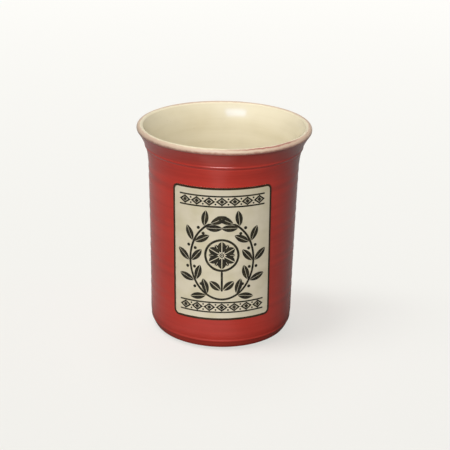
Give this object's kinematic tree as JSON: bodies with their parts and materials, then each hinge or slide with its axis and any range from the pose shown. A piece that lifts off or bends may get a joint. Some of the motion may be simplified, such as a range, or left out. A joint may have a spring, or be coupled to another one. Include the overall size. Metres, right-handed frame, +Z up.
{
  "type": "mug",
  "caption": "Wheel-thrown stoneware mug with a flared lip, strap handle, red glaze outside, cream glaze inside and a printed cream label panel.",
  "frame": {"origin": "centre of the flat bare base, on the mug's axis", "axes": "+Z up out of the mouth, +Y towards the handle, +X to the right of someone who looks at the label"},
  "size_m": [0.0894, 0.1216, 0.1103],
  "materials": {
    "clay": "bare fired stoneware clay",
    "slip": "bare fired slip",
    "red_glaze": "glossy",
    "cream_glaze": "glossy",
    "lip_glaze": "satin, thin over the edge",
    "label_ground": "satin",
    "border_ink": "satin ceramic ink",
    "print_ink": "satin ceramic ink"
  },
  "bodies": {
    "root": {"thrown_body": "clay", "handle": "clay", "upper_slip_joint": "slip", "lower_slip_joint": "slip", "wall_glaze": "red_glaze", "handle_glaze": "red_glaze", "liner_glaze": "cream_glaze", "lip_glaze": "lip_glaze", "label_ground": "label_ground", "label_border": "border_ink", "print_flower": "print_ink", "print_wreath": "print_ink", "print_upper_band": "print_ink", "print_lower_band": "print_ink"}
  },
  "joints": []
}
